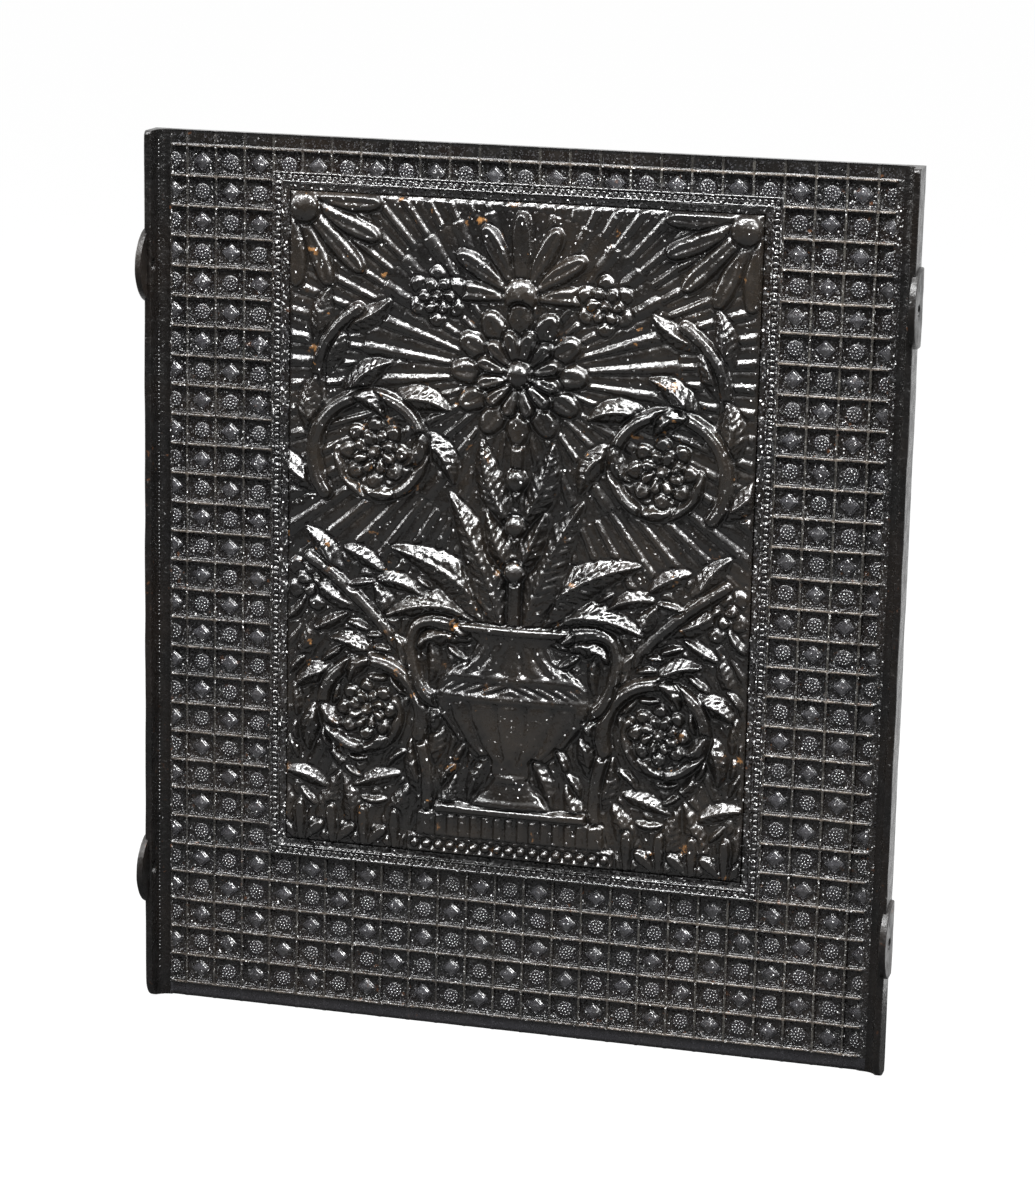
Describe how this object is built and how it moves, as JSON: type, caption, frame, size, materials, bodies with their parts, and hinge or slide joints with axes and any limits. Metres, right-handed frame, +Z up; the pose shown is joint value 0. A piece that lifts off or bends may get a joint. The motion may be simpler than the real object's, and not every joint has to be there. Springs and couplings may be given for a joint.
{
  "type": "fireback",
  "caption": "Rectangular cast-iron fireback with a latticed face, side flanges with bolting lugs, and a relief panel held in a beaded frame.",
  "frame": {"origin": "under the middle of the object, on the plane of the plate's bottom edge, halfway between the lug noses and the back", "axes": "+X to the viewer's right along the plate, +Y away from the viewer towards the chimney, +Z up"},
  "size_m": [0.6046, 0.042, 0.702],
  "materials": {
    "blackened_iron": "cast, blackened and burnished, ribs worn paler",
    "panel_iron": "cast, blackened and burnished",
    "frame_iron": "cast, blackened, beads burnished",
    "lug_iron": "cast, worn, a little rust",
    "fixing_iron": "filed flush"
  },
  "bodies": {
    "root": {"back_plate": "blackened_iron", "relief_panel": "panel_iron", "bead_frame": "frame_iron", "upper_left_lug": "lug_iron", "upper_right_lug": "lug_iron", "lower_left_lug": "lug_iron", "lower_right_lug": "lug_iron", "lug_rivets": "fixing_iron", "frame_screws": "fixing_iron"}
  },
  "joints": []
}
